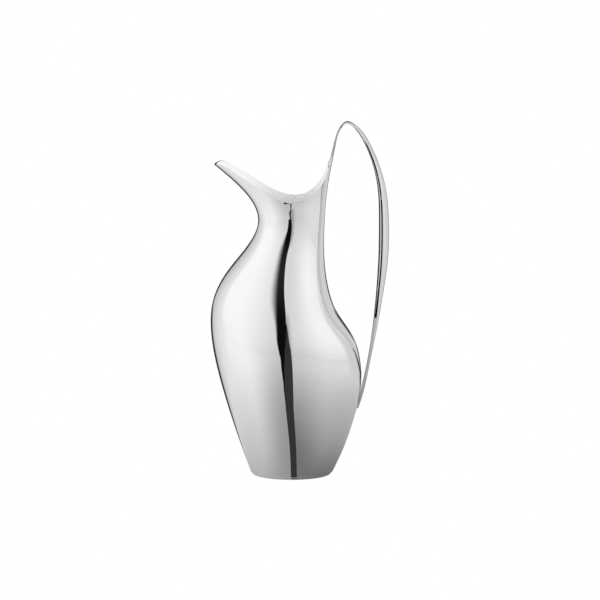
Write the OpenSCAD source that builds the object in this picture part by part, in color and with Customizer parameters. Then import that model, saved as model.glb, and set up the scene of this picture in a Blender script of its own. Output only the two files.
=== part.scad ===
// Tall water pitcher of polished sheet metal. The mouth is cut on a long slant that
// runs out into a spout, and the back wall rises past it as a strap, turns over and
// swells into a hollow handle, whose thin tail lies on the belly.
// Millimetres. The origin is the centre of the face that the pitcher stands on.
// +Z is up, the spout points along -X, the handle is on the +X side, and the left
// and right halves mirror each other in the plane y = 0.

/* [Body] */
// Overall height, from the foot to the top of the handle
pitcher_h = 286; // [240:1:340]
// Depth of the belly, across the pitcher
belly_d = 97; // [88:1:106]
// Depth of the neck at its slimmest, across the pitcher
neck_d = 42.4; // [38:0.2:48]
// Thickness of the body's sheet
wall = 1.1; // [0.8:0.1:1.4]

/* [Foot] */
// Radius of the foot
foot_r = 31.8; // [30:0.2:33.4]
// Height of the base plate's rim, on which the body stands
foot_h = 2.4; // [2:0.1:3.2]
// Width of the flat ring that touches the table
ring_w = 6; // [4:0.5:10]
// Depth of the hollow under the base plate
hollow_h = 1.2; // [0.6:0.1:2]

/* [Handle] */
// Width of the handle at its widest, across the pitcher
handle_w = 21; // [16:0.5:26]
// Thickness of the handle where it is fullest
handle_t = 8; // [6:0.1:9]
// Thickness of the solid strap between the mouth and the handle
strap_t = 1.1; // [0.9:0.1:1.4]
// Thickness of the hollow handle's sheet
shell = 0.7; // [0.5:0.05:0.8]
// Width of the flat seam where the handle's two shells meet
seam_w = 1.2; // [0.8:0.1:1.6]

/* [Hidden] */

// The tables below are drawn for a pitcher 286 high. Every length of BODY and RIM, and
// the first two of each row of HANDLE, are multiplied by k.
k = pitcher_h / 286;
foot = foot_r / k;
belly = belly_d / 2 / k;
neck = neck_d / 2 / k;

// Horizontal sections of the body, from the foot up: height, front, back, half
// depth, x of the widest place, and how much wider the back is than the front.
BODY = [
    [0, -foot, foot, foot, 0, 0],
    [20, -39.1, 41.3, 0.79 * belly, -0.6, 0],
    [45, -47.6, 49.8, 0.92 * belly, -2.8, 0],
    [70, -55.2, 55.4, 0.99 * belly, -5, 0],
    [95, -61.4, 54.4, belly, -5.9, 0],
    [108, -63.6, 50.6, 0.98 * belly, -6.1, 0],
    [120, -64.6, 43.5, 0.94 * belly, -6.2, 0],
    [132, -64.2, 35.7, 0.89 * belly, -6.3, 0],
    [145, -61.4, 30.8, 0.82 * belly, -6.4, 0],
    [165, -50.6, 27.1, 0.68 * belly, -6, 0],
    [185, -35.1, 26, 1.22 * neck, -3.5, 0],
    [205, -26.7, 26.5, 1.02 * neck, -0.6, 0],
    [225, -34.5, 28, neck, -2.7, 0],
    [240, -48.9, 30.1, 1.13 * neck, -7.2, 0.08],
    [254, -65.4, 32.8, 1.22 * neck, -12.2, 0.16]
];

// The mouth in side view: x, height.
RIM = [
    [-62.2, 251], [-55.2, 252.2], [-47.2, 247.8], [-37.2, 241.5], [-23.2, 232.6], [-9.2, 225.1],
    [2.8, 222.8], [14.8, 226.8], [22.8, 234.8], [28.8, 246.5], [31.8, 257]
];

// Sections of the handle, from the mouth round to the belly, at the line of its two
// edges: x, height, half width, thickness of the edge, bulge towards the inside of
// the loop, and bulge towards the outside.
HANDLE = [
    [30.5, 250, 7.6, strap_t, 1.2, -1.2],
    [31.9, 257, 6.2, strap_t, 0.9, -0.9],
    [34.6, 268, 4.2, strap_t, 0.4, -0.4],
    [38, 278.5, 2.8, 0.9 * strap_t, 0.1, -0.1],
    [44.2, 285.1, 2.9, 0.9 * strap_t, 0.2, 0.1],
    [51.8, 280.8, 4, 0.8, 0.9, 0.9],
    [60.2, 268.1, 6.2, 0.7, 1.3, 1.8],
    [67.4, 249.2, 8.4, 0.6, 1.5, 2.8],
    [71.3, 229, 0.95 * handle_w / 2, 0.6, 0.23 * handle_t, 0.53 * handle_t],
    [72.5, 203, handle_w / 2, 0.6, 0.28 * handle_t, 0.64 * handle_t],
    [72.1, 178, 0.97 * handle_w / 2, 0.6, 0.28 * handle_t, 0.64 * handle_t],
    [69.8, 150, 9, 0.6, 1.6, 3.8],
    [66.2, 120, 7.2, 0.6, 0.9, 2.2],
    [61.6, 92, 5.2, 0.8, 0.3, 1.1],
    [56.5, 68, 3.2, 1.2, 0.3, 0.9],
    [52.8, 53, 1.2, 0.9, 0, 0.1]
];

// Height at which the strap is joined to the body
join_z = k * HANDLE[0][1];
// Height up to which the strap's sections turn from level to square to its run
level_run = 14 * k;
// Places along the handle where the strap gives way to the hollow shells, and the
// shells to the solid tail: numbers of rows in HANDLE
STRAP_END = 5;
TAIL_START = 12.4;
// Gap between the tail and the belly, filled by the braze
braze = 0.05;
// Least height of the room inside one of the handle's shells
MIN_ROOM = 0.1;

// Numbers of facets
BODY_ROWS = 30;
BODY_COLUMNS = 22;
JOIN_COLUMNS = 3;
ACROSS = 10;
STRAP_ROWS = 18;
SHELL_ROWS = 44;
TAIL_ROWS = 20;
ROUND = 96;

// Limits and number of steps of the searches along the mouth, and the small step, in
// millimetres or degrees, over which directions are measured
MOUTH_LOW = 205 * k;
MOUTH_HIGH = 262 * k;
JOIN_LIMIT = 60;
SEARCH_STEPS = 18;
TINY = 0.4;

// ---- Smooth curves through the tables (natural cubic splines, row by row) ----

function column(table, i) = [for (row = table) row[i]];

function eliminated(x, y, i = 1, rows = undef) =
    let (done = is_undef(rows) ? [[0, 0 * y[0]]] : rows)
    i > len(x) - 2 ? done :
    let (a = x[i] - x[i - 1],
         b = x[i + 1] - x[i],
         bend = 6 * ((y[i + 1] - y[i]) / b - (y[i] - y[i - 1]) / a),
         pivot = 2 * (a + b) - a * done[i - 1][0])
    eliminated(x, y, i + 1,
               concat(done, [[b / pivot, (bend - a * done[i - 1][1]) / pivot]]));

function substituted(rows, i, found) =
    i < 0 ? found :
    substituted(rows, i - 1, concat([rows[i][1] - rows[i][0] * found[0]], found));

// A curve is [places, values, second derivatives].
function curve(x, y) = [x, y, substituted(eliminated(x, y), len(x) - 2, [0 * y[0]])];

function at(c, s) =
    let (last = len(c[0]) - 2,
         i = max([for (j = [0:last]) if (j == 0 || c[0][j] <= s) j]),
         h = c[0][i + 1] - c[0][i],
         b = (s - c[0][i]) / h,
         a = 1 - b)
    a * c[1][i] + b * c[1][i + 1]
    + ((a * a * a - a) * c[2][i] + (b * b * b - b) * c[2][i + 1]) * h * h / 6;

// ---- Body surface ----

body_curve = curve(k * column(BODY, 0), [for (row = BODY)
    [k * row[1], k * row[2], k * row[3], k * row[4], row[5]]]);
rim_curve = curve(k * column(RIM, 0), k * column(RIM, 1));

// Outer surface at angle t (0 at the back, 180 at the spout) and height z. The
// near half has y below 0.
function skin(t, z) =
    let (s = at(body_curve, z),
         middle = (s[0] + s[1]) / 2,
         reach = (s[1] - s[0]) / 2)
    [middle + reach * cos(t) + (s[3] - middle) * sin(t) * sin(t),
     -s[2] * sin(t) * (1 + s[4] * cos(t)),
     z];

// Inner surface: moved in level with the sheet's thickness measured squarely.
function lining(t, z) =
    let (along = skin(t + TINY, z) - skin(t - TINY, z),
         rise = (skin(t, z + TINY) - skin(t, z - TINY)) / (2 * TINY),
         inward = [along[1], -along[0], 0] / norm(along),
         slope = rise * inward,
         p = skin(t, z) + inward * wall * sqrt(1 + slope * slope))
    [p[0], t == 0 || t == 180 ? 0 : p[1], z];

// Height of the mouth at angle t, by halving the interval
function mouth_z(t, low = MOUTH_LOW, high = MOUTH_HIGH, n = SEARCH_STEPS) =
    let (m = (low + high) / 2)
    n == 0 ? m :
    m < at(rim_curve, skin(t, m)[0]) ? mouth_z(t, m, high, n - 1)
                                     : mouth_z(t, low, m, n - 1);

// Angle at which the mouth reaches the height of the strap's joint
function join_angle(low = 0, high = JOIN_LIMIT, n = SEARCH_STEPS) =
    let (m = (low + high) / 2)
    n == 0 ? m :
    mouth_z(m) > join_z ? join_angle(m, high, n - 1) : join_angle(low, m, n - 1);

join_t = join_angle();
join_half_w = -skin(join_t, join_z)[1];

ANGLES = concat([for (i = [0:JOIN_COLUMNS - 1]) join_t * i / JOIN_COLUMNS],
                [for (i = [0:BODY_COLUMNS])
                    join_t + (180 - join_t) * i / BODY_COLUMNS]);
TOPS = [for (t = ANGLES) t <= join_t ? join_z : mouth_z(t)];

// ---- Triangles ----

// Two triangles for each cell of a grid of points that starts at number first
function grid(rows, columns, first = 0, flip = false) =
    [for (i = [0:rows - 2]) for (j = [0:columns - 2])
        let (a = first + i * columns + j, b = a + 1, c = a + columns + 1, d = a + columns)
        each flip ? [[a, c, b], [a, d, c]] : [[a, b, c], [a, c, d]]];

// Triangles between two lists of point numbers
function strip(p, q) =
    [for (i = [0:len(p) - 2])
        each [[p[i], p[i + 1], q[i + 1]], [p[i], q[i + 1], q[i]]]];

function span(first, step, count) = [for (i = [0:count - 1]) first + i * step];

// One half of the vessel: two grids of points, outer and inner, joined along the
// foot, the mouth and the two edges in the plane y = 0.
module body_half() {
    rows = BODY_ROWS + 1;
    columns = len(ANGLES);
    cells = rows * columns;
    heights = [for (i = [0:BODY_ROWS]) for (j = [0:columns - 1])
        [ANGLES[j], foot_h + (TOPS[j] - foot_h) * i / BODY_ROWS]];
    outer = [for (p = heights) let (s = skin(p[0], p[1]))
        [s[0], p[0] == 0 || p[0] == 180 ? 0 : s[1], s[2]]];
    inner = [for (p = heights) lining(p[0], p[1])];
    bottom = span(0, 1, columns);
    mouth = span(BODY_ROWS * columns, 1, columns);
    back = span(0, columns, rows);
    front = span(columns - 1, columns, rows);
    shift = [for (i = [0:cells]) i + cells];
    polyhedron(
        points = concat(outer, inner),
        faces = concat(
            grid(rows, columns, 0),
            grid(rows, columns, cells, flip = true),
            strip([for (i = bottom) shift[i]], bottom),
            strip(mouth, [for (i = mouth) shift[i]]),
            strip(back, [for (i = back) shift[i]]),
            strip([for (i = front) shift[i]], front)));
}

module body_near() {
    color("gainsboro") body_half();
}

module body_far() {
    color("silver") mirror([0, 1, 0]) body_half();
}

// Pressed round bottom: a rim under the body's edge, a flat ring to stand on and a
// raised centre.
module base_plate() {
    lip_r = -skin(180, foot_h)[0];
    corner = 1.8;
    ring_in = foot_r - corner - ring_w;
    step = 1.5;
    outline = concat(
        [[0, hollow_h], [ring_in - step, hollow_h], [ring_in, 0], [foot_r - corner, 0]],
        [for (a = [-75:15:-15]) [foot_r - corner + corner * cos(a), corner + corner * sin(a)]],
        [[foot_r, corner], [lip_r, foot_h], [ring_in + step, foot_h],
         [ring_in, hollow_h + wall], [0, hollow_h + wall]]);
    color("darkgray") rotate_extrude($fn = ROUND) polygon(outline);
}

// ---- Handle ----

function run_lengths(p, i = 1, sums = [0]) =
    i == len(p) ? sums :
    run_lengths(p, i + 1, concat(sums, [sums[i - 1] + norm(p[i] - p[i - 1])]));

// The first row takes the body's own width and curvature where they meet.
join_reach = (at(body_curve, join_z)[1] - at(body_curve, join_z)[0]) / 2;
join_shift = at(body_curve, join_z)[3]
             - (at(body_curve, join_z)[1] + at(body_curve, join_z)[0]) / 2;
join_sag = at(body_curve, join_z)[1] - skin(join_t, join_z)[0];
join_x = at(body_curve, join_z)[1] - join_sag - strap_t / 2;
handle_rows = [for (i = [0:len(HANDLE) - 1]) let (row = HANDLE[i])
    i == 0 ? [join_x, join_z, join_half_w, strap_t, join_sag, -join_sag]
           : [k * row[0], k * row[1], row[2], row[3], row[4], row[5]]];
handle_runs = run_lengths([for (row = handle_rows) [row[0], row[1]]]);
handle_curve = curve(handle_runs, handle_rows);

// Place along the handle for a row number, which may fall between two rows
function run_at(row) =
    let (i = floor(row))
    handle_runs[i] + (row == i ? 0 : (row - i) * (handle_runs[i + 1] - handle_runs[i]));

function eased(f) = f <= 0 ? 0 : f >= 1 ? 1 : f * f * (3 - 2 * f);

// A point of the handle: u along it, n out of the loop, y across
function handle_point(u, n, y) =
    let (s = at(handle_curve, u),
         ahead = at(handle_curve, u + TINY) - at(handle_curve, u - TINY),
         lean = atan2(ahead[0], ahead[1]) * eased(u / level_run))
    [s[0] - n * cos(lean), y, s[1] + n * sin(lean)];

// Half of a lens section as points [n, y] over the width, n from the seam outwards
function arch(edge, bulge, half_w, count = ACROSS) =
    [for (i = [0:count]) let (q = 2 * i / count - 1)
        [edge + bulge * (1 - q * q), half_w * q]];

function flipped(points) = [for (p = points) [-p[0], p[1]]];

// Sections are pairs of arches with the same number of points.
function solid_section(u) =
    let (s = at(handle_curve, u))
    [arch(s[3] / 2, s[5], s[2]), flipped(arch(s[3] / 2, s[4], s[2]))];

// One shell of the hollow part: its outside, and its inside with a flat seam along
// each edge, where the two shells meet.
function shell_section(u, bulge) =
    let (s = at(handle_curve, u),
         room = arch(0, max(MIN_ROOM, s[3] / 2 + bulge - shell), s[2] - seam_w))
    [arch(s[3] / 2, bulge, s[2], ACROSS + 2),
     concat([[0, -s[2]]], room, [[0, s[2]]])];

// Moves a point of the tail out to the belly's surface where it would lie inside.
function clear_of_belly(p) =
    let (half_depth = at(body_curve, p[2])[2],
         belly_x = skin(asin(min(1, abs(p[1]) / half_depth)), p[2])[0] + braze)
    [max(p[0], belly_x), p[1], p[2]];

// Sweeps pairs of arches along the handle and closes both ends.
module swept(places, sections, on_belly = false) {
    count = len(sections[0][0]);
    rows = len(places);
    cells = rows * count;
    points = [for (side = [0, 1]) for (i = [0:rows - 1]) for (p = sections[i][side])
        handle_point(places[i], p[0], p[1])];
    left = span(0, count, rows);
    right = span(count - 1, count, rows);
    start = span(0, 1, count);
    finish = span(cells - count, 1, count);
    polyhedron(
        points = on_belly ? [for (p = points) clear_of_belly(p)] : points,
        faces = concat(
            grid(rows, count, 0),
            grid(rows, count, cells, flip = true),
            strip([for (i = start) i + cells], start),
            strip(finish, [for (i = finish) i + cells]),
            strip(left, [for (i = left) i + cells]),
            strip([for (i = right) i + cells], right)));
}

function places(from, to, count) =
    [for (i = [0:count]) run_at(from) + (run_at(to) - run_at(from)) * i / count];

shell_places = places(STRAP_END, TAIL_START, SHELL_ROWS);

module handle_strap() {
    us = places(0, STRAP_END, STRAP_ROWS);
    color("whitesmoke") swept(us, [for (u = us) solid_section(u)]);
}

module handle_outer() {
    sections = [for (u = shell_places) shell_section(u, at(handle_curve, u)[5])];
    color("lightgray") swept(shell_places, sections);
}

module handle_inner() {
    sections = [for (u = shell_places) shell_section(u, at(handle_curve, u)[4])];
    color("silver") swept(shell_places, [for (s = sections) [flipped(s[1]), flipped(s[0])]]);
}

module handle_tail() {
    us = places(TAIL_START, len(HANDLE) - 1, TAIL_ROWS);
    color("whitesmoke") swept(us, [for (u = us) solid_section(u)], on_belly = true);
}

body_near();
body_far();
base_plate();
handle_strap();
handle_outer();
handle_inner();
handle_tail();
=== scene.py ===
import math

import bpy
import numpy as np
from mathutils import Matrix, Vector


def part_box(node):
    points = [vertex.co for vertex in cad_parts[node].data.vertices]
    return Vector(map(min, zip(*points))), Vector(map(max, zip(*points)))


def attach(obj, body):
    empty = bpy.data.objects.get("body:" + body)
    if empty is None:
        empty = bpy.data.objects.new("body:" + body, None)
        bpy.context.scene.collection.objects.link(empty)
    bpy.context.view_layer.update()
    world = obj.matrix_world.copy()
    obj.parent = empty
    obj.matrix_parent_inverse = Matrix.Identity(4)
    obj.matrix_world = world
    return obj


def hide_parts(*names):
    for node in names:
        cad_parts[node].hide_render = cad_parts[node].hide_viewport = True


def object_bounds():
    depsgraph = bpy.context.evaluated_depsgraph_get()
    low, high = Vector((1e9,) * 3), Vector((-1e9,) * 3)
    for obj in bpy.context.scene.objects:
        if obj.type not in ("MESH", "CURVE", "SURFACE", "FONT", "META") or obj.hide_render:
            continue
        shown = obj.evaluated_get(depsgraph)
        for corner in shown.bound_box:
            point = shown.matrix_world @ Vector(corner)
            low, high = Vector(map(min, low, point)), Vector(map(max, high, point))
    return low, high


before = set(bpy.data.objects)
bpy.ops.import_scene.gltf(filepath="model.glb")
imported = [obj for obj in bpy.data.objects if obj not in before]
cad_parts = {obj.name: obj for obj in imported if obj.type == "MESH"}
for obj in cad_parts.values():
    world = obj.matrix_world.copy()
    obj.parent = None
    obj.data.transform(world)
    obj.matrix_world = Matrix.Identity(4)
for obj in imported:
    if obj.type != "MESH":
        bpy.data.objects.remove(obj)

cad_box = [list(corner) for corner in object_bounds()]

# ---- Sizes ----
# The part's own design, in millimetres, for a pitcher PITCHER_H high, and K, which takes
# it to the size in the frame
MM = 0.001
PITCHER_H = 286
K = cad_box[1][2] / MM / PITCHER_H
# Half depths of the belly and the neck
BELLY = 48.5
NECK = 21.2
# Radius of the body at the foot, and of the base plate at its widest, in the design
FOOT_R = 31.8
PLATE_R = 32.69
FOOT = -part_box("base_plate")[0].x / MM / K * FOOT_R / PLATE_R
# Thickness of the body's sheet, of the strap, and of a channel of the handle
WALL = 1.1
STRAP_T = 1.1
SHELL = 0.7
# The handle at its fullest, and the width of its seams
HANDLE_T = 8
HANDLE_HALF_W = 10.5
SEAM_W = 1.2
# Height at which the sheet of the body stands on the base plate
FOOT_H = 2.4
# Rounding of cut edges
EDGE_R = 0.2

# Level sections of the body: height, front, back, half depth, x of the widest place,
# and how much wider the back is than the front.
BODY = np.array([
    [0, -FOOT, FOOT, FOOT, 0, 0],
    [20, -39.1, 41.3, 0.79 * BELLY, -0.6, 0],
    [45, -47.6, 49.8, 0.92 * BELLY, -2.8, 0],
    [70, -55.2, 55.4, 0.99 * BELLY, -5, 0],
    [95, -61.4, 54.4, BELLY, -5.9, 0],
    [108, -63.6, 50.6, 0.98 * BELLY, -6.1, 0],
    [120, -64.6, 43.5, 0.94 * BELLY, -6.2, 0],
    [132, -64.2, 35.7, 0.89 * BELLY, -6.3, 0],
    [145, -61.4, 30.8, 0.82 * BELLY, -6.4, 0],
    [165, -50.6, 27.1, 0.68 * BELLY, -6, 0],
    [185, -35.1, 26, 1.22 * NECK, -3.5, 0],
    [205, -26.7, 26.5, 1.02 * NECK, -0.6, 0],
    [225, -34.5, 28, NECK, -2.7, 0],
    [240, -48.9, 30.1, 1.13 * NECK, -7.2, 0.08],
    [254, -65.4, 32.8, 1.22 * NECK, -12.2, 0.16],
])
# The mouth in side view: x, height.
RIM = np.array([
    [-62.2, 251], [-55.2, 252.2], [-47.2, 247.8], [-37.2, 241.5], [-23.2, 232.6],
    [-9.2, 225.1], [2.8, 222.8], [14.8, 226.8], [22.8, 234.8], [28.8, 246.5], [31.8, 257],
])
# Sections of the handle: x, height, half width, thickness of the edge, bulge into the
# loop, and bulge out of it. The first row is worked out from the body.
HANDLE = np.array([
    [30.5, 250, 7.6, STRAP_T, 1.2, -1.2],
    [31.9, 257, 6.2, STRAP_T, 0.9, -0.9],
    [34.6, 268, 4.2, STRAP_T, 0.4, -0.4],
    [38, 278.5, 2.8, 0.9 * STRAP_T, 0.1, -0.1],
    [44.2, 285.1, 2.9, 0.9 * STRAP_T, 0.2, 0.1],
    [51.8, 280.8, 4, 0.8, 0.9, 0.9],
    [60.2, 268.1, 6.2, 0.7, 1.3, 1.8],
    [67.4, 249.2, 8.4, 0.6, 1.5, 2.8],
    [71.3, 229, 0.95 * HANDLE_HALF_W, 0.6, 0.23 * HANDLE_T, 0.53 * HANDLE_T],
    [72.5, 203, HANDLE_HALF_W, 0.6, 0.28 * HANDLE_T, 0.64 * HANDLE_T],
    [72.1, 178, 0.97 * HANDLE_HALF_W, 0.6, 0.28 * HANDLE_T, 0.64 * HANDLE_T],
    [69.8, 150, 9, 0.6, 1.6, 3.8],
    [66.2, 120, 7.2, 0.6, 0.9, 2.2],
    [61.6, 92, 5.2, 0.8, 0.3, 1.1],
    [56.5, 68, 3.2, 1.2, 0.3, 0.9],
    [52.8, 53, 1.2, 0.9, 0, 0.1],
])
# Where the strap ends and the tail starts, counted in rows of HANDLE
STRAP_END = 5
TAIL_START = 12.4
# The sections are level where the strap leaves the body, and square to it after this run.
LEVEL_RUN = 14
# Run over which the strap's section turns into the hollow handle's
SWELL_RUN = 30
# The arch of a section is a cosine to twice this power: SHARP at the strap, ROUND beyond it.
SHARP = 0.95
ROUND = 0.55
# What the flat edges gain from the arch on each side, beyond the strap and near the tail,
# and how many swell runs before the tail its share begins
EDGE_MORE = 0.28
TAIL_MORE = 0.4
TAIL_LEAD = 1.5
# Film of solder between the tail and the belly
BRAZE = 0.05
# A small step for slopes and for going just past an end
TINY = 1e-3
# Halvings in a search
HALVINGS = 40


class Curve:
    """A natural cubic spline through rows of values."""

    def __init__(self, x, y):
        n, h = len(x), np.diff(x)
        left, right = np.eye(n), np.zeros_like(y)
        for i in range(1, n - 1):
            left[i, i - 1:i + 2] = h[i - 1], 2 * (h[i - 1] + h[i]), h[i]
            right[i] = 6 * ((y[i + 1] - y[i]) / h[i] - (y[i] - y[i - 1]) / h[i - 1])
        self.x, self.y, self.bend = x, y, np.linalg.solve(left, right)

    def __call__(self, s):
        s = np.asarray(s, float)
        i = np.clip(np.searchsorted(self.x, s, side="right") - 1, 0, len(self.x) - 2)
        h = self.x[i + 1] - self.x[i]
        b = (s - self.x[i]) / h
        a = 1 - b
        if self.y.ndim > 1:
            a, b, h = a[..., None], b[..., None], h[..., None]
        return (a * self.y[i] + b * self.y[i + 1]
                + ((a**3 - a) * self.bend[i] + (b**3 - b) * self.bend[i + 1]) * h * h / 6)


body_curve = Curve(BODY[:, 0], BODY[:, 1:])
rim_curve = Curve(RIM[:, 0], RIM[:, 1])


def unit(v):
    return v / np.linalg.norm(v, axis=-1, keepdims=True)


def skin(t, z):
    """Outer surface at angle t (0 at the back, pi at the spout) and height z."""
    front, back, half, widest, taper = np.moveaxis(body_curve(z), -1, 0)
    middle, reach = (front + back) / 2, (back - front) / 2
    x = middle + reach * np.cos(t) + (widest - middle) * np.sin(t) ** 2
    y = -half * np.sin(t) * (1 + taper * np.cos(t))
    return np.stack([x, y, z + 0 * t], -1)


def skin_slopes(t, z):
    """How the skin runs with the angle and with the height"""
    return ((skin(t + TINY, z) - skin(t - TINY, z)) / (2 * TINY),
            (skin(t, z + TINY) - skin(t, z - TINY)) / (2 * TINY))


def skin_normal(t, z):
    along, rise = skin_slopes(t, z)
    return unit(np.cross(rise, along))


MOUTH_FROM, MOUTH_TO = 205.0, 262.0


def mouth_height(t):
    """Height at which the skin at angle t meets the rim's line."""
    low, high = np.full_like(t, MOUTH_FROM), np.full_like(t, MOUTH_TO)
    for _ in range(HALVINGS):
        middle = (low + high) / 2
        up = middle < rim_curve(skin(t, middle)[..., 0])
        low, high = np.where(up, middle, low), np.where(up, high, middle)
    return low


JOIN_Z = HANDLE[0, 1]


def join_angle():
    """Angle up to which the rim stands higher than the foot of the strap."""
    low, high = 0.0, math.radians(60)
    for _ in range(HALVINGS):
        middle = (low + high) / 2
        above = mouth_height(np.array(middle)) > JOIN_Z
        low, high = (middle, high) if above else (low, middle)
    return low


JOIN_T = join_angle()


# ---- Meshes ----

# Points closer than this are one point of the mesh.
WELD = 1e-5


class Build:
    """Collects grids of points with their own normals, and makes one mesh of them."""

    def __init__(self):
        self.points, self.faces, self.normals, self.finish = [], [], [], []
        self.count = 0

    def grid(self, points, normals, finish=0):
        """Rows of points, joined by quads that face the way of the normals"""
        rows, columns = points.shape[:2]
        number = self.count + np.arange(rows * columns).reshape(rows, columns)
        quads = np.stack([number[:-1, :-1], number[:-1, 1:], number[1:, 1:],
                          number[1:, :-1]], -1).reshape(-1, 4)
        flat = points.reshape(-1, 3)
        if np.ndim(normals) == 1:
            normals = np.broadcast_to(normals, points.shape)
        corner = flat[quads - self.count]
        facing = np.cross(corner[:, 2] - corner[:, 0], corner[:, 3] - corner[:, 1])
        wanted = normals.reshape(-1, 3)[quads - self.count].mean(1)
        if (facing * wanted).sum() < 0:
            quads = quads[:, ::-1]
        self.points.append(flat)
        self.faces.extend(quads.tolist())
        self.normals.extend(normals.reshape(-1, 3)[quads - self.count].tolist())
        self.finish.extend([finish] * len(quads))
        self.count += len(flat)

    def face(self, points, normal):
        """One flat face"""
        n = len(points)
        sides = np.roll(points, -1, 0) - points
        area = sum(np.cross(points[i] - points[0], sides[i]) for i in range(n))
        order = np.arange(n) if np.dot(area, normal) > 0 else np.arange(n)[::-1]
        self.points.append(points)
        self.faces.append((self.count + order).tolist())
        self.normals.append([list(normal)] * n)
        self.finish.append(0)
        self.count += n

    def mesh(self, name, mirrored=False):
        """Joins points that are one, and leaves out faces that shrink to a line."""
        points = np.concatenate(self.points)
        _, first, same = np.unique(np.round(points / WELD).astype(np.int64), axis=0,
                                   return_index=True, return_inverse=True)
        points, same = points[first], same.reshape(-1)
        side = np.array([1, -1 if mirrored else 1, 1])
        faces, loops, finishes = [], [], []
        for face, normals, finish in zip(self.faces, self.normals, self.finish):
            kept = [(same[i], n) for k, (i, n) in enumerate(zip(face, normals))
                    if same[i] != same[face[k - 1]]]
            if len({k[0] for k in kept}) < 3:
                continue
            kept = kept[::-1] if mirrored else kept
            faces.append([int(k[0]) for k in kept])
            finishes.append(finish)
            loops.extend(k[1] for k in kept)
        mesh = bpy.data.meshes.new(name)
        mesh.from_pydata((points * side * K * MM).tolist(), [], faces)
        mesh.polygons.foreach_set("use_smooth", [True] * len(faces))
        mesh.normals_split_custom_set((unit(np.array(loops)) * side).tolist())
        mesh.update()
        return mesh, finishes


def piece(build, node, *materials, mirrored=False):
    """Makes the mesh into the piece that replaces a CAD node. A finish is a material's place."""
    name = node + "_polished"
    mesh, finishes = build.mesh(name, mirrored)
    obj = bpy.data.objects.new(name, mesh)
    bpy.context.scene.collection.objects.link(obj)
    for material in materials:
        obj.data.materials.append(material)
    mesh.polygons.foreach_set("material_index", finishes)
    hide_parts(node)
    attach(obj, "root")


def edge_profile(half, radius, steps=4):
    """A sheet's edge: places across it, places out of it, and normal angles."""
    turn = np.linspace(0, math.pi / 2, steps + 1)
    across = np.concatenate([half - radius + radius * np.cos(turn),
                             radius - half + radius * np.cos(turn + math.pi / 2)])
    out = np.concatenate([radius * np.sin(turn), radius * np.cos(turn)])
    return across, out, np.concatenate([turn, turn + math.pi / 2])


# ---- Body ----

BODY_ROWS = 260
BODY_COLUMNS = 300
JOIN_COLUMNS = 16
# How much closer together the columns are at the back than at the spout
CROWDING = 0.35
# The shift of the columns under the rim dies away downwards with this power.
SHIFT_POWER = 6


def rim_rows():
    """The rim from the strap to the spout: angle, height, out of the sheet, up off the edge."""
    s = np.linspace(0, 1, BODY_COLUMNS + 1)
    s = CROWDING * s**2 + (1 - CROWDING) * s
    t = JOIN_T + (math.pi - JOIN_T) * s
    z = mouth_height(t)
    z[0] = JOIN_Z
    past = np.concatenate([[JOIN_T - TINY], t, [math.pi + TINY]])
    rim = skin(past, np.concatenate([mouth_height(past[:1]), z, mouth_height(past[-1:])]))
    along = unit(rim[2:] - rim[:-2])
    along[-1] = [0, 1, 0]
    out = skin_normal(t, z)
    up = unit(np.cross(out, along))
    up[up[:, 2] < 0] *= -1
    return t, z, out, up


def set_back(t, z, up):
    """Changes of angle and height that end the smooth skin where the edge's rounding starts."""
    change = np.array([np.linalg.lstsq(np.stack([along, rise], 1), -EDGE_R * lift, rcond=None)[0]
                       for along, rise, lift in zip(*skin_slopes(t, z), up)])
    change[-1, 0] = 0
    return change.T


def body_half():
    """One half of the vessel: the outer and inner skin, the cut edges and the rim."""
    open_t, open_z, out, up = rim_rows()
    back_t, back_z = set_back(open_t, open_z, up)
    join_t = JOIN_T * np.linspace(0, 1, JOIN_COLUMNS, endpoint=False)
    t = np.concatenate([join_t, open_t])
    top = np.concatenate([np.full(JOIN_COLUMNS, JOIN_Z), open_z + back_z])
    top[JOIN_COLUMNS] = JOIN_Z
    shift = np.concatenate([back_t[0] * join_t / JOIN_T, back_t])
    v = np.linspace(0, 1, BODY_ROWS + 1)[:, None]
    t_grid = t[None] + shift[None] * v**SHIFT_POWER
    z_grid = FOOT_H + (top[None] - FOOT_H) * v
    outer = skin(t_grid, z_grid)
    normal = skin_normal(t_grid, z_grid)
    level = unit(normal * [1, 1, 0])
    inner = outer - level * (WALL / (normal * level).sum(-1, keepdims=True))
    for grid in (outer, inner):
        grid[:, 0, 1] = 0
        grid[:, -1, 1] = 0

    build = Build()
    build.grid(outer, normal)
    build.grid(inner, -normal, 1)
    # The cut edges: at the foot, along the centre plane, and under the strap
    build.grid(np.stack([outer[0], inner[0]]), np.array([0, 0, -1.0]))
    for column in (0, -1):
        build.grid(np.stack([outer[:, column], inner[:, column]]), np.array([0, 1.0, 0]))
    flat = slice(0, JOIN_COLUMNS + 1)
    build.grid(np.stack([outer[-1, flat], inner[-1, flat]]), np.array([0, 0, 1.0]))
    # The rim's rounded edge, from the outer skin over to the inner one
    a, b = outer[-1, JOIN_COLUMNS:], inner[-1, JOIN_COLUMNS:]
    across, lift, turn = edge_profile(0.5, EDGE_R / WALL)
    share = (across + 0.5)[:, None, None]
    lip = b + (a - b) * share + up * (lift * WALL)[:, None, None]
    lip_normal = out * np.cos(turn)[:, None, None] + up * np.sin(turn)[:, None, None]
    lip[:, -1, 1] = 0
    build.grid(lip, lip_normal)
    build.face(lip[:, 0], np.array([0, 0, 1.0]))
    build.face(lip[:, -1], np.array([0, 1.0, 0]))
    return build


# ---- Handle ----

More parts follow.
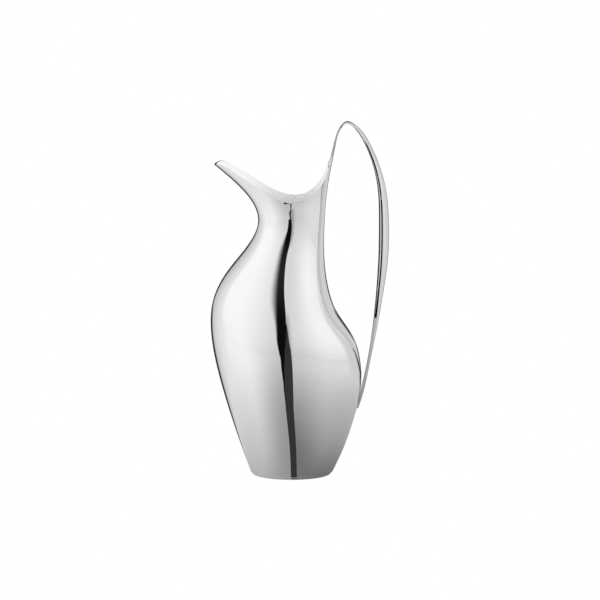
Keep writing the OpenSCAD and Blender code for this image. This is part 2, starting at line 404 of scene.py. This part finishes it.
def handle_curve():
    """The rows of HANDLE as a curve over the run along it, starting from the body's edge."""
    back = body_curve(np.array(JOIN_Z))[1]
    edge = skin(np.array(JOIN_T), np.array(JOIN_Z))
    sag = back - edge[0]
    rows = HANDLE.copy()
    rows[0] = [back - sag - STRAP_T / 2, JOIN_Z, -edge[1], STRAP_T, sag, -sag]
    runs = np.concatenate([[0], np.cumsum(np.linalg.norm(np.diff(rows[:, :2], axis=0), axis=1))])
    return Curve(runs, rows)


HANDLE_CURVE = handle_curve()


def run_at(row):
    """Run along the handle at a row of HANDLE."""
    return float(np.interp(row, np.arange(len(HANDLE)), HANDLE_CURVE.x))


SHELL_START = run_at(STRAP_END)
# Steps of the run over which directions are taken, for the lean and for the surface
LEAN_STEP = 0.2
SURFACE_STEP = 0.05
# Points across an arch, and across the hollow inside it
ACROSS = 28
ROOM_ACROSS = 16
# Least depth of the hollow, and least cosine at the ends of an arch
ROOM_LEAST = 0.1
LEVEL_LEAST = 1e-4
# Steps along the strap, the hollow stretch and the tail
STRAP_STEPS = 110
SHELL_STEPS = 220
TAIL_STEPS = 110


def eased(f):
    """0 up to 0, 1 from 1 on, smooth between them"""
    f = min(max(f, 0), 1)
    return f * f * (3 - 2 * f)


def lean_at(u):
    """Angle by which a section leans with the handle, from level"""
    ahead = HANDLE_CURVE(u + LEAN_STEP) - HANDLE_CURVE(u - LEAN_STEP)
    return np.arctan2(ahead[0], ahead[1]) * eased(u / LEVEL_RUN)


def corner(edge, half_w, bulge, side, steps=3):
    """The rounded corner between a bulging face and the flat edge at y = half_w."""
    lean = math.atan2(2 * bulge, half_w)
    total = 1 + math.sin(lean)
    centre = np.array([edge, half_w]) - EDGE_R * np.array([math.cos(lean), total]) / total
    turn = np.linspace(lean, math.pi / 2, steps + 1)
    return np.stack([(centre[0] + EDGE_R * np.cos(turn)) * side,
                     centre[1] + EDGE_R * np.sin(turn),
                     turn if side > 0 else math.pi - turn], -1)


def outside(edge, half_w, bulge, side):
    """One face of the strap from edge to edge, as rows of n, y and normal angle."""
    c = corner(edge / 2, half_w, bulge, side)
    y = np.linspace(-c[0, 1], c[0, 1], ACROSS + 1)[1:-1]
    arch = np.stack([side * (edge / 2 + bulge * (1 - (y / half_w) ** 2)), y,
                     np.arctan2(2 * bulge * y / half_w**2, 1.0)], -1)
    if side < 0:
        arch[:, 2] = math.pi - arch[:, 2]
    other = c[::-1] * [1, -1, -1]
    ends = np.array([[0, half_w, math.pi / 2]])
    first = np.array([[0, -half_w, -math.pi / 2]])
    return np.concatenate([first, other, arch, c, ends])


def full(edge, half_w, bulge, side, power):
    """One face of the handle beyond the strap, whose sides turn smoothly into its edges."""
    turn = np.linspace(-math.pi / 2, math.pi / 2, ACROSS * 2 + 1)
    level = np.maximum(np.cos(turn), LEVEL_LEAST)
    n = edge / 2 + bulge * level ** (2 * power)
    normal = np.arctan2(2 * power * bulge * level ** (2 * power - 2) * np.sin(turn), half_w)
    face = np.stack([side * n, half_w * np.sin(turn),
                     normal if side > 0 else math.pi - normal], -1)
    ends = np.array([[side * edge / 2, half_w, math.pi / 2], [0, half_w, math.pi / 2]])
    return np.concatenate([ends[::-1] * [1, -1, -1], face, ends])


def handle_points(u, ring):
    """A section's points in space, and the direction its n is measured in."""
    x, z = HANDLE_CURVE(u)[:2]
    lean = lean_at(u)
    n_dir = np.array([-math.cos(lean), 0, math.sin(lean)])
    return np.array([x, 0, z]) + ring[:, :1] * n_dir + ring[:, 1:2] * [0, 1, 0], n_dir


def swept(build, us, ring_at, on_belly=False):
    """Sweeps open rows of points along the handle with their own normals."""
    grids, normals = [], []
    for u in us:
        ring = ring_at(u)
        p, n_dir = handle_points(u, ring)
        ahead = handle_points(u + SURFACE_STEP, ring_at(u + SURFACE_STEP))[0]
        behind = handle_points(u - SURFACE_STEP, ring_at(u - SURFACE_STEP))[0]
        turn = ring[:, 2:3]
        square = np.cos(turn) * n_dir + np.sin(turn) * [0, 1, 0]
        tangent = -np.sin(turn) * n_dir + np.cos(turn) * [0, 1, 0]
        normal = unit(np.cross(ahead - behind, tangent))
        normal *= np.sign((normal * square).sum(-1, keepdims=True))
        grids.append(clear_of_belly(p) if on_belly else p)
        normals.append(normal)
    grids, normals = np.array(grids), np.array(normals)
    build.grid(grids, normals)
    return grids


def clear_of_belly(p):
    """Moves points that would lie in the belly out to the film of solder on it."""
    half = body_curve(p[:, 2])[:, 2]
    t = np.arcsin(np.minimum(1, np.abs(p[:, 1]) / half))
    p = p.copy()
    p[:, 0] = np.maximum(p[:, 0], skin(t, p[:, 2])[:, 0] + BRAZE)
    return p


def places(start, stop, count):
    """Runs at even steps from one row of HANDLE to another"""
    return np.linspace(run_at(start), run_at(stop), count + 1)


def section(u, side):
    """Half width, thickness of the edge, and bulge on one side."""
    half_w, edge, bulge_in, bulge_out = HANDLE_CURVE(u)[2:]
    return half_w, edge, bulge_out if side > 0 else bulge_in


def face_ring(side, strap=False):
    """The outside of the handle on one side of its seam."""
    def ring(u):
        half_w, edge, bulge = section(u, side)
        if strap:
            return outside(edge, half_w, bulge, side)
        swell = eased((u - SHELL_START) / SWELL_RUN)
        # A broader edge, and rounder sides, within the same height and width
        more = EDGE_MORE + TAIL_MORE * eased((u - run_at(TAIL_START)) / SWELL_RUN + TAIL_LEAD)
        more = swell * min(more, bulge)
        return full(edge + 2 * more, half_w, bulge - more, side,
                    SHARP + (ROUND - SHARP) * swell)
    return ring


def room_ring(side):
    """The hollow inside a channel of the handle."""
    def ring(u):
        half_w, edge, bulge = section(u, side)
        depth = max(ROOM_LEAST, edge / 2 + bulge - SHELL)
        half = half_w - SEAM_W
        y = np.linspace(-half, half, ROOM_ACROSS + 1)
        turn = np.arctan2(2 * depth * y / half**2, 1.0)
        return np.stack([side * depth * (1 - (y / half) ** 2), y,
                         math.pi + turn if side > 0 else -turn], -1)
    return ring


def close_ends(build, grid, other):
    """Flat faces over both ends of a sweep, between its grid and the one opposite."""
    for row, near in ((0, 1), (-1, -2)):
        build.face(np.concatenate([grid[row], other[row][::-1]]),
                   unit(grid[row].mean(0) - grid[near].mean(0)))


def solid(us, strap):
    """The strap, or the tail, which is fitted to the belly."""
    build = Build()
    outer = swept(build, us, face_ring(1, strap), not strap)
    inner = swept(build, us, face_ring(-1, strap), not strap)
    close_ends(build, outer, inner[:, 1:-1])
    return build


def channel(us, side):
    """One of the two channels that close on each other to make the hollow handle."""
    build = Build()
    outer = swept(build, us, face_ring(side))
    inner = swept(build, us, room_ring(side))
    lean = np.array([lean_at(u) for u in us])
    n_dir = np.stack([-np.cos(lean), 0 * lean, np.sin(lean)], -1)
    for column in (0, -1):
        seam = np.stack([outer[:, column], inner[:, column]])
        build.grid(seam, np.broadcast_to(-side * n_dir, seam.shape))
    close_ends(build, outer, inner)
    return build


# ---- Base plate ----

# Radius of the bend, width of the ring it stands on, height of the hollow inside the
# ring, and how far the sheet slopes in plan between the two
PLATE_BEND = 1.8
PLATE_RING = 6
PLATE_HOLLOW = 1.2
PLATE_SLOPE = 1.5
BEND_STEPS = 12
TURN_STEPS = 256


def base_plate():
    """The pressed plate, turned from its outline, under the body's lower edge"""
    lip_r = -skin(np.array(math.pi), np.array(FOOT_H))[0]
    ring_in = FOOT - PLATE_BEND - PLATE_RING
    top = PLATE_HOLLOW + WALL
    a = np.radians(np.linspace(-90, 0, BEND_STEPS + 1))
    bend = np.stack([FOOT - PLATE_BEND + PLATE_BEND * np.cos(a),
                     PLATE_BEND + PLATE_BEND * np.sin(a)], -1)
    under = [[0.0, PLATE_HOLLOW], [ring_in - PLATE_SLOPE, PLATE_HOLLOW], [ring_in, 0], bend[0]]
    over = [bend[-1], [lip_r, FOOT_H], [ring_in + PLATE_SLOPE, FOOT_H], [ring_in, top], [0, top]]
    flats = [np.array(pair, float) for line in (under, over) for pair in zip(line, line[1:])]
    turn = np.radians(np.linspace(0, 360, TURN_STEPS + 1))

    def turned(rows):
        """Rows of radius and height, taken round the axis"""
        return np.stack([rows[:, None, 0] * np.cos(turn), rows[:, None, 0] * np.sin(turn),
                         rows[:, None, 1] + 0 * turn], -1)

    build = Build()
    for part in flats[:3] + [bend] + flats[3:]:
        run = np.gradient(part, axis=0)
        square = unit(np.stack([run[:, 1], -run[:, 0]], -1))
        if part is bend:
            square = np.stack([np.cos(a), np.sin(a)], -1)
        points, normals = turned(part), turned(square)
        points[:, -1] = points[:, 0]
        build.grid(points, normals)
    return build


# ---- Materials ----

def nodes_of(owner):
    """The empty node tree of a material or world."""
    owner.use_nodes = True
    nodes, links = owner.node_tree.nodes, owner.node_tree.links
    nodes.clear()
    return nodes, links


# Depth of the polishing marks, in metres
MARK_DEPTH = 0.0001


def silver(name, rough_range, marks_scale, strength, metallic):
    """Silver with a cloudy change of polish and hair-fine polishing marks."""
    material = bpy.data.materials.new(name)
    nodes, links = nodes_of(material)
    out = nodes.new("ShaderNodeOutputMaterial")
    shader = nodes.new("ShaderNodeBsdfPrincipled")
    shader.inputs["Metallic"].default_value = metallic
    shader.inputs["Base Color"].default_value = (0.97, 0.97, 0.965, 1)
    place = nodes.new("ShaderNodeTexCoord")
    cloud = nodes.new("ShaderNodeTexNoise")
    cloud.inputs["Scale"].default_value = 22
    cloud.inputs["Detail"].default_value = 5
    rough = nodes.new("ShaderNodeMapRange")
    rough.inputs["From Min"].default_value = 0.35
    rough.inputs["From Max"].default_value = 0.7
    rough.inputs["To Min"].default_value = rough_range[0]
    rough.inputs["To Max"].default_value = rough_range[1]
    stretch = nodes.new("ShaderNodeMapping")
    stretch.inputs["Scale"].default_value = marks_scale
    marks = nodes.new("ShaderNodeTexNoise")
    marks.inputs["Scale"].default_value = 1
    marks.inputs["Detail"].default_value = 3
    bump = nodes.new("ShaderNodeBump")
    bump.inputs["Strength"].default_value = strength
    bump.inputs["Distance"].default_value = MARK_DEPTH
    links.new(place.outputs["Object"], cloud.inputs["Vector"])
    links.new(cloud.outputs["Fac"], rough.inputs["Value"])
    links.new(rough.outputs["Result"], shader.inputs["Roughness"])
    links.new(place.outputs["Object"], stretch.inputs["Vector"])
    links.new(stretch.outputs["Vector"], marks.inputs["Vector"])
    links.new(marks.outputs["Fac"], bump.inputs["Height"])
    links.new(bump.outputs["Normal"], shader.inputs["Normal"])
    links.new(shader.outputs["BSDF"], out.inputs["Surface"])
    return material


# The outside is polished to a mirror, and the lining has a soft satin bloom, almost white.
SILVER = silver("mirror_silver", (0.01, 0.035), (900, 900, 60), 0.02, 1.0)
LINING = silver("satin_silver", (0.5, 0.6), (300, 300, 900), 0.015, 0.0)

body = body_half()
piece(body, "body_near", SILVER, LINING)
piece(body, "body_far", SILVER, LINING, mirrored=True)
piece(base_plate(), "base_plate", SILVER)
piece(solid(places(0, STRAP_END, STRAP_STEPS), True), "handle_strap", SILVER)
shell_us = places(STRAP_END, TAIL_START, SHELL_STEPS)
piece(channel(shell_us, 1), "handle_outer", SILVER)
piece(channel(shell_us, -1), "handle_inner", SILVER)
tail_us = places(TAIL_START, len(HANDLE) - 1, TAIL_STEPS)
piece(solid(tail_us, False), "handle_tail", SILVER)


# ---- Studio ----
# Only reflections see the studio. The camera and all other light see plain white.
# Directions are in degrees: the azimuth is 0 towards the camera and 90 towards +X, and the
# elevation is up from the level. Light is given as a brightness, with 1 for white.

def expression(nodes, links):
    """Small helpers for sums on node sockets."""
    def put(socket, value):
        if isinstance(value, (int, float)):
            socket.default_value = value
        else:
            links.new(value, socket)

    def calc(kind, *values):
        node = nodes.new("ShaderNodeMath")
        node.operation = kind
        for socket, value in zip(node.inputs, values):
            put(socket, value)
        return node.outputs[0]

    def ramp(value, a, b, at_a=0.0, at_b=1.0):
        """at_a up to a, at_b from b on, smooth between them. b may be the lower one."""
        node = nodes.new("ShaderNodeMapRange")
        node.interpolation_type = "SMOOTHSTEP"
        for name, number in (("Value", value), ("From Min", a), ("From Max", b),
                             ("To Min", at_a), ("To Max", at_b)):
            put(node.inputs[name], number)
        return node.outputs["Result"]

    def box(value, a, b, c, d):
        """0 outside a..d, 1 inside b..c"""
        return calc("MULTIPLY", ramp(value, a, b), calc("SUBTRACT", 1, ramp(value, c, d)))

    def paint(under, over, mask):
        """over where mask is 1, under where it is 0"""
        return calc("ADD", calc("MULTIPLY", under, calc("SUBTRACT", 1, mask)),
                    calc("MULTIPLY", over, mask))

    return calc, ramp, box, paint


def split_light(nodes, links, kind, light, output):
    """Light for the reflections and plain white for all else, by emitters of one kind."""
    path = nodes.new("ShaderNodeLightPath")
    mix = nodes.new("ShaderNodeMixShader")
    out = nodes.new(output)
    plain, reflected = nodes.new(kind), nodes.new(kind)
    for emitter in (plain, reflected):
        emitter.inputs["Color"].default_value = (1, 1, 1, 1)
        emitter.inputs["Strength"].default_value = 1
    links.new(light, reflected.inputs["Strength"])
    links.new(path.outputs["Is Glossy Ray"], mix.inputs[0])
    links.new(plain.outputs[0], mix.inputs[1])
    links.new(reflected.outputs[0], mix.inputs[2])
    links.new(mix.outputs[0], out.inputs["Surface"])


DEGREES = 180 / math.pi
CEILING = 1.05
# Grey walls behind on the left, where it dims towards the doorway, and on the right
LEFT_WALL = (0.80, 0.54)
RIGHT_WALL = 0.63
# Darkness of the doorway behind the pitcher and of the pitcher's painted shadow on the table,
# the doorway's soft edge, and how far above the level it stands
DARK_DOORWAY_AND_SHADOW = 0.03
DOOR_FADE = 11
DOOR_EL = math.radians(3)
# A grey patch beside the camera, towards +X, in the studio's light and painted on the table
STUDIO_GREY_PATCH = 0.27
TABLE_GREY_PATCH = 0.25
# The gap between the soft boxes, darkest low down, and its end on the table
GAP = (0.004, 0.024)
TABLE_GAP = 0.02


def studio():
    """The room above the table, by direction"""
    world = bpy.data.worlds.new("studio")
    bpy.context.scene.world = world
    nodes, links = nodes_of(world)
    calc, ramp, box, paint = expression(nodes, links)
    place = nodes.new("ShaderNodeTexCoord")
    split = nodes.new("ShaderNodeSeparateXYZ")
    links.new(place.outputs["Generated"], split.inputs[0])
    x, y, z = split.outputs
    az = calc("MULTIPLY", calc("ARCTAN2", x, calc("MULTIPLY", y, -1)), DEGREES)
    el = calc("MULTIPLY", calc("ARCSINE", z), DEGREES)

    # Soft boxes on both sides, dimmer towards the camera and low down, and the grey walls
    away = calc("MULTIPLY", az, -1)
    left = paint(ramp(el, -35, 30, 0.335, 0.75), ramp(el, -72, 15, 0.29, 0.965),
                 ramp(away, 0, 68))
    left = paint(left, ramp(away, 95, 150, *LEFT_WALL), ramp(away, 90, 104))
    right = paint(ramp(el, -33, 16, 0.195, 0.69), ramp(el, -55, 25, 0.28, 0.93),
                  ramp(az, 8, 68))
    right = paint(right, calc("MINIMUM", right, RIGHT_WALL), ramp(az, 95, 115))
    light = paint(left, right, ramp(az, -1, 1))
    light = paint(light, CEILING, ramp(el, 38, 60))
    light = paint(light, STUDIO_GREY_PATCH,
                  calc("MULTIPLY", box(az, 0, 1, 4, 14), ramp(el, 22, 12, 0, 0.8)))

    # The doorway, a disc round its own direction, larger on the left
    ahead = calc("ADD", calc("MULTIPLY", y, math.cos(DOOR_EL)),
                 calc("MULTIPLY", z, math.sin(DOOR_EL)))
    off = calc("MULTIPLY", calc("ARCCOSINE", ahead), DEGREES)
    size = ramp(az, -90, 90, 25, 18)
    beyond = ramp(off, size, calc("ADD", size, DOOR_FADE))
    light = paint(light, DARK_DOORWAY_AND_SHADOW, calc("SUBTRACT", 1, beyond))

    # The gap, between azimuths that change with the height, soft on the left
    gap_right = calc("SUBTRACT", ramp(el, -10, 12, 0.6, 3.5), ramp(el, 16, 30, 0, 2.5))
    gap_left = ramp(el, -18, 18, -0.3, -9.5)
    fade = calc("SUBTRACT", gap_left, ramp(el, 6, 28, 1.5, 16))
    gap = calc("MULTIPLY", ramp(az, fade, gap_left),
               calc("SUBTRACT", 1, ramp(calc("SUBTRACT", az, gap_right), -0.5, 1)))
    gap = calc("MULTIPLY", gap, calc("SUBTRACT", 1, ramp(el, 40, 52)))
    light = paint(light, ramp(el, 15, 40, *GAP), gap)
    split_light(nodes, links, "ShaderNodeBackground", light, "ShaderNodeOutputWorld")


studio()


def glowing(name, strength):
    """A card's own even light, whatever else shines on it"""
    material = bpy.data.materials.new(name)
    nodes, links = nodes_of(material)
    out = nodes.new("ShaderNodeOutputMaterial")
    glow = nodes.new("ShaderNodeEmission")
    glow.inputs["Color"].default_value = (1, 1, 1, 1)
    glow.inputs["Strength"].default_value = strength
    links.new(glow.outputs[0], out.inputs["Surface"])
    return material


def staged(name, points, material):
    """A flat card that is not part of the pitcher, from points in millimetres."""
    mesh = bpy.data.meshes.new(name)
    mesh.from_pydata([tuple(MM * v for v in point) for point in points], [],
                     [tuple(range(len(points)))])
    obj = bpy.data.objects.new(name, mesh)
    bpy.context.scene.collection.objects.link(obj)
    obj.data.materials.append(material)
    return obj


def table_light():
    """Pale floor. The metal sees it as the studio table with painted light, which dims towards
    the pitcher in the pitcher's painted shadow.
    """
    material = bpy.data.materials.new("pale_floor")
    nodes, links = nodes_of(material)
    calc, ramp, box, paint = expression(nodes, links)
    place = nodes.new("ShaderNodeNewGeometry")
    split = nodes.new("ShaderNodeSeparateXYZ")
    links.new(place.outputs["Position"], split.inputs[0])
    x, y, _ = split.outputs
    reach = calc("SQRT", calc("ADD", calc("MULTIPLY", x, x), calc("MULTIPLY", y, y)))
    side = calc("MULTIPLY", calc("ARCTAN2", x, calc("MULTIPLY", y, -1)), DEGREES)
    away = calc("MULTIPLY", side, -1)
    far_out = calc("LOGARITHM", reach, 10)

    def pitcher_shadow_falloff(near, far, dark, bright):
        """The pitcher's painted shadow in the table's painted light: dark within near, bright
        beyond far, both in metres
        """
        return ramp(far_out, math.log10(near), math.log10(far), dark, bright)

    # Painted light on the table, brighter on the left than on the right, and dimmer close to the
    # pitcher as its painted shadow
    left = paint(pitcher_shadow_falloff(0.06, 2.5, 0.30, 0.566), pitcher_shadow_falloff(0.015, 0.9, 0.40, 0.90),
                 ramp(away, 0, 58))
    # Behind on both sides, painted shade keeps the table no brighter than the grey walls
    left = paint(left, calc("MINIMUM", left, ramp(away, 95, 150, *LEFT_WALL)),
                 ramp(away, 85, 100))
    right = paint(pitcher_shadow_falloff(0.05, 1.5, 0.17, 0.575), pitcher_shadow_falloff(0.01, 1.5, 0.06, 0.73),
                  ramp(side, 6, 60))
    right = paint(right, calc("MINIMUM", right, RIGHT_WALL), ramp(side, 95, 115))
    light = paint(left, right, ramp(side, -1, 1))
    # Painted on the table: a grey patch, the dark end of the gap, and the doorway's darkness
    # with the pitcher's painted shadow behind it, wider near the pitcher
    light = paint(light, TABLE_GREY_PATCH,
                  calc("MULTIPLY", box(side, 0, 1, 4, 14), ramp(reach, 1.0, 1.3, 0, 0.8)))
    light = paint(light, TABLE_GAP,
                  calc("MULTIPLY", box(side, -3, -1.5, 0.5, 2), ramp(reach, 1.1, 1.7)))
    # The dark sector behind the pitcher is its painted shadow there, wider near the pitcher
    wider = ramp(reach, 0.6, 2.6, 9, 0)
    light = paint(light, DARK_DOORWAY_AND_SHADOW, calc("MAXIMUM", ramp(calc("ADD", side, wider), 158, 168),
                                       ramp(calc("ADD", away, wider), 144, 156)))
    split_light(nodes, links, "ShaderNodeEmission", light, "ShaderNodeOutputMaterial")
    return material


TABLE_EDGE = 30000
staged("floor", [(x * TABLE_EDGE, y * TABLE_EDGE, 0)
                 for x, y in ((-1, -1), (1, -1), (1, 1), (-1, 1))], table_light())

# A dark stand in front of the pitcher, its foot running in along the table, a black blind
# beside it, and a black runner on the table further out on the right. Only the metal sees
# them, as the dark strip down the front and the line along the handle.
STAND_Y = -190
ON_TABLE = 0.1
GREY = glowing("grey_stand", 0.033)
BLACK = glowing("black_stand", 0.004)
# Upright outlines: x, height
STAND = [(31, 0), (30.5, 40), (28, 80), (23, 120), (14, 150), (8, 165), (-2, 120), (-5, 80),
         (-6, 0)]
BLIND = [(-5.5, 5), (-5, 80), (-2, 120), (8, 165), (-36, 160), (-29, 133), (-24, 115),
         (-16.5, 75), (-11, 50)]
# Outlines on the table: x, y
STAND_FOOT = [(-0.5, -33), (5, -33), (31, STAND_Y), (-6, STAND_Y)]
RUNNER = [(44, -420), (64, -420), (80, -750), (88, -2200), (34, -2200)]
for card in (staged("stand", [(x, STAND_Y, z) for x, z in STAND], GREY),
             staged("stand_blind", [(x, STAND_Y, z) for x, z in BLIND], BLACK),
             staged("stand_foot", [(x, y, ON_TABLE) for x, y in STAND_FOOT], GREY),
             staged("runner", [(x, y, ON_TABLE) for x, y in RUNNER], BLACK)):
    card.visible_camera = False
    card.visible_diffuse = False
    card.visible_shadow = False

# ---- Camera ----
# A view of the pitcher's side from a little above, without perspective. The width of the
# frame and the point aimed at are in millimetres, and the distances in metres.
ELEVATION = math.radians(10)
FRAME_W = 480
AIM_X = 6.8
AIM_Z = 138.56
DISTANCE = 3
FURTHEST = 100
camera = bpy.data.objects.new("camera", bpy.data.cameras.new("camera"))
bpy.context.scene.collection.objects.link(camera)
camera.data.type = "ORTHO"
camera.data.ortho_scale = FRAME_W * MM * K
camera.data.clip_end = FURTHEST
towards_camera = Vector((0, -math.cos(ELEVATION), math.sin(ELEVATION)))
aim = Vector((AIM_X * MM, 0, AIM_Z * MM / math.cos(ELEVATION)))
camera.location = aim + towards_camera * DISTANCE
camera.rotation_mode = "QUATERNION"
camera.rotation_quaternion = (-towards_camera).to_track_quat("-Z", "Y")
bpy.context.scene.camera = camera
bpy.context.scene.view_settings.view_transform = "Standard"
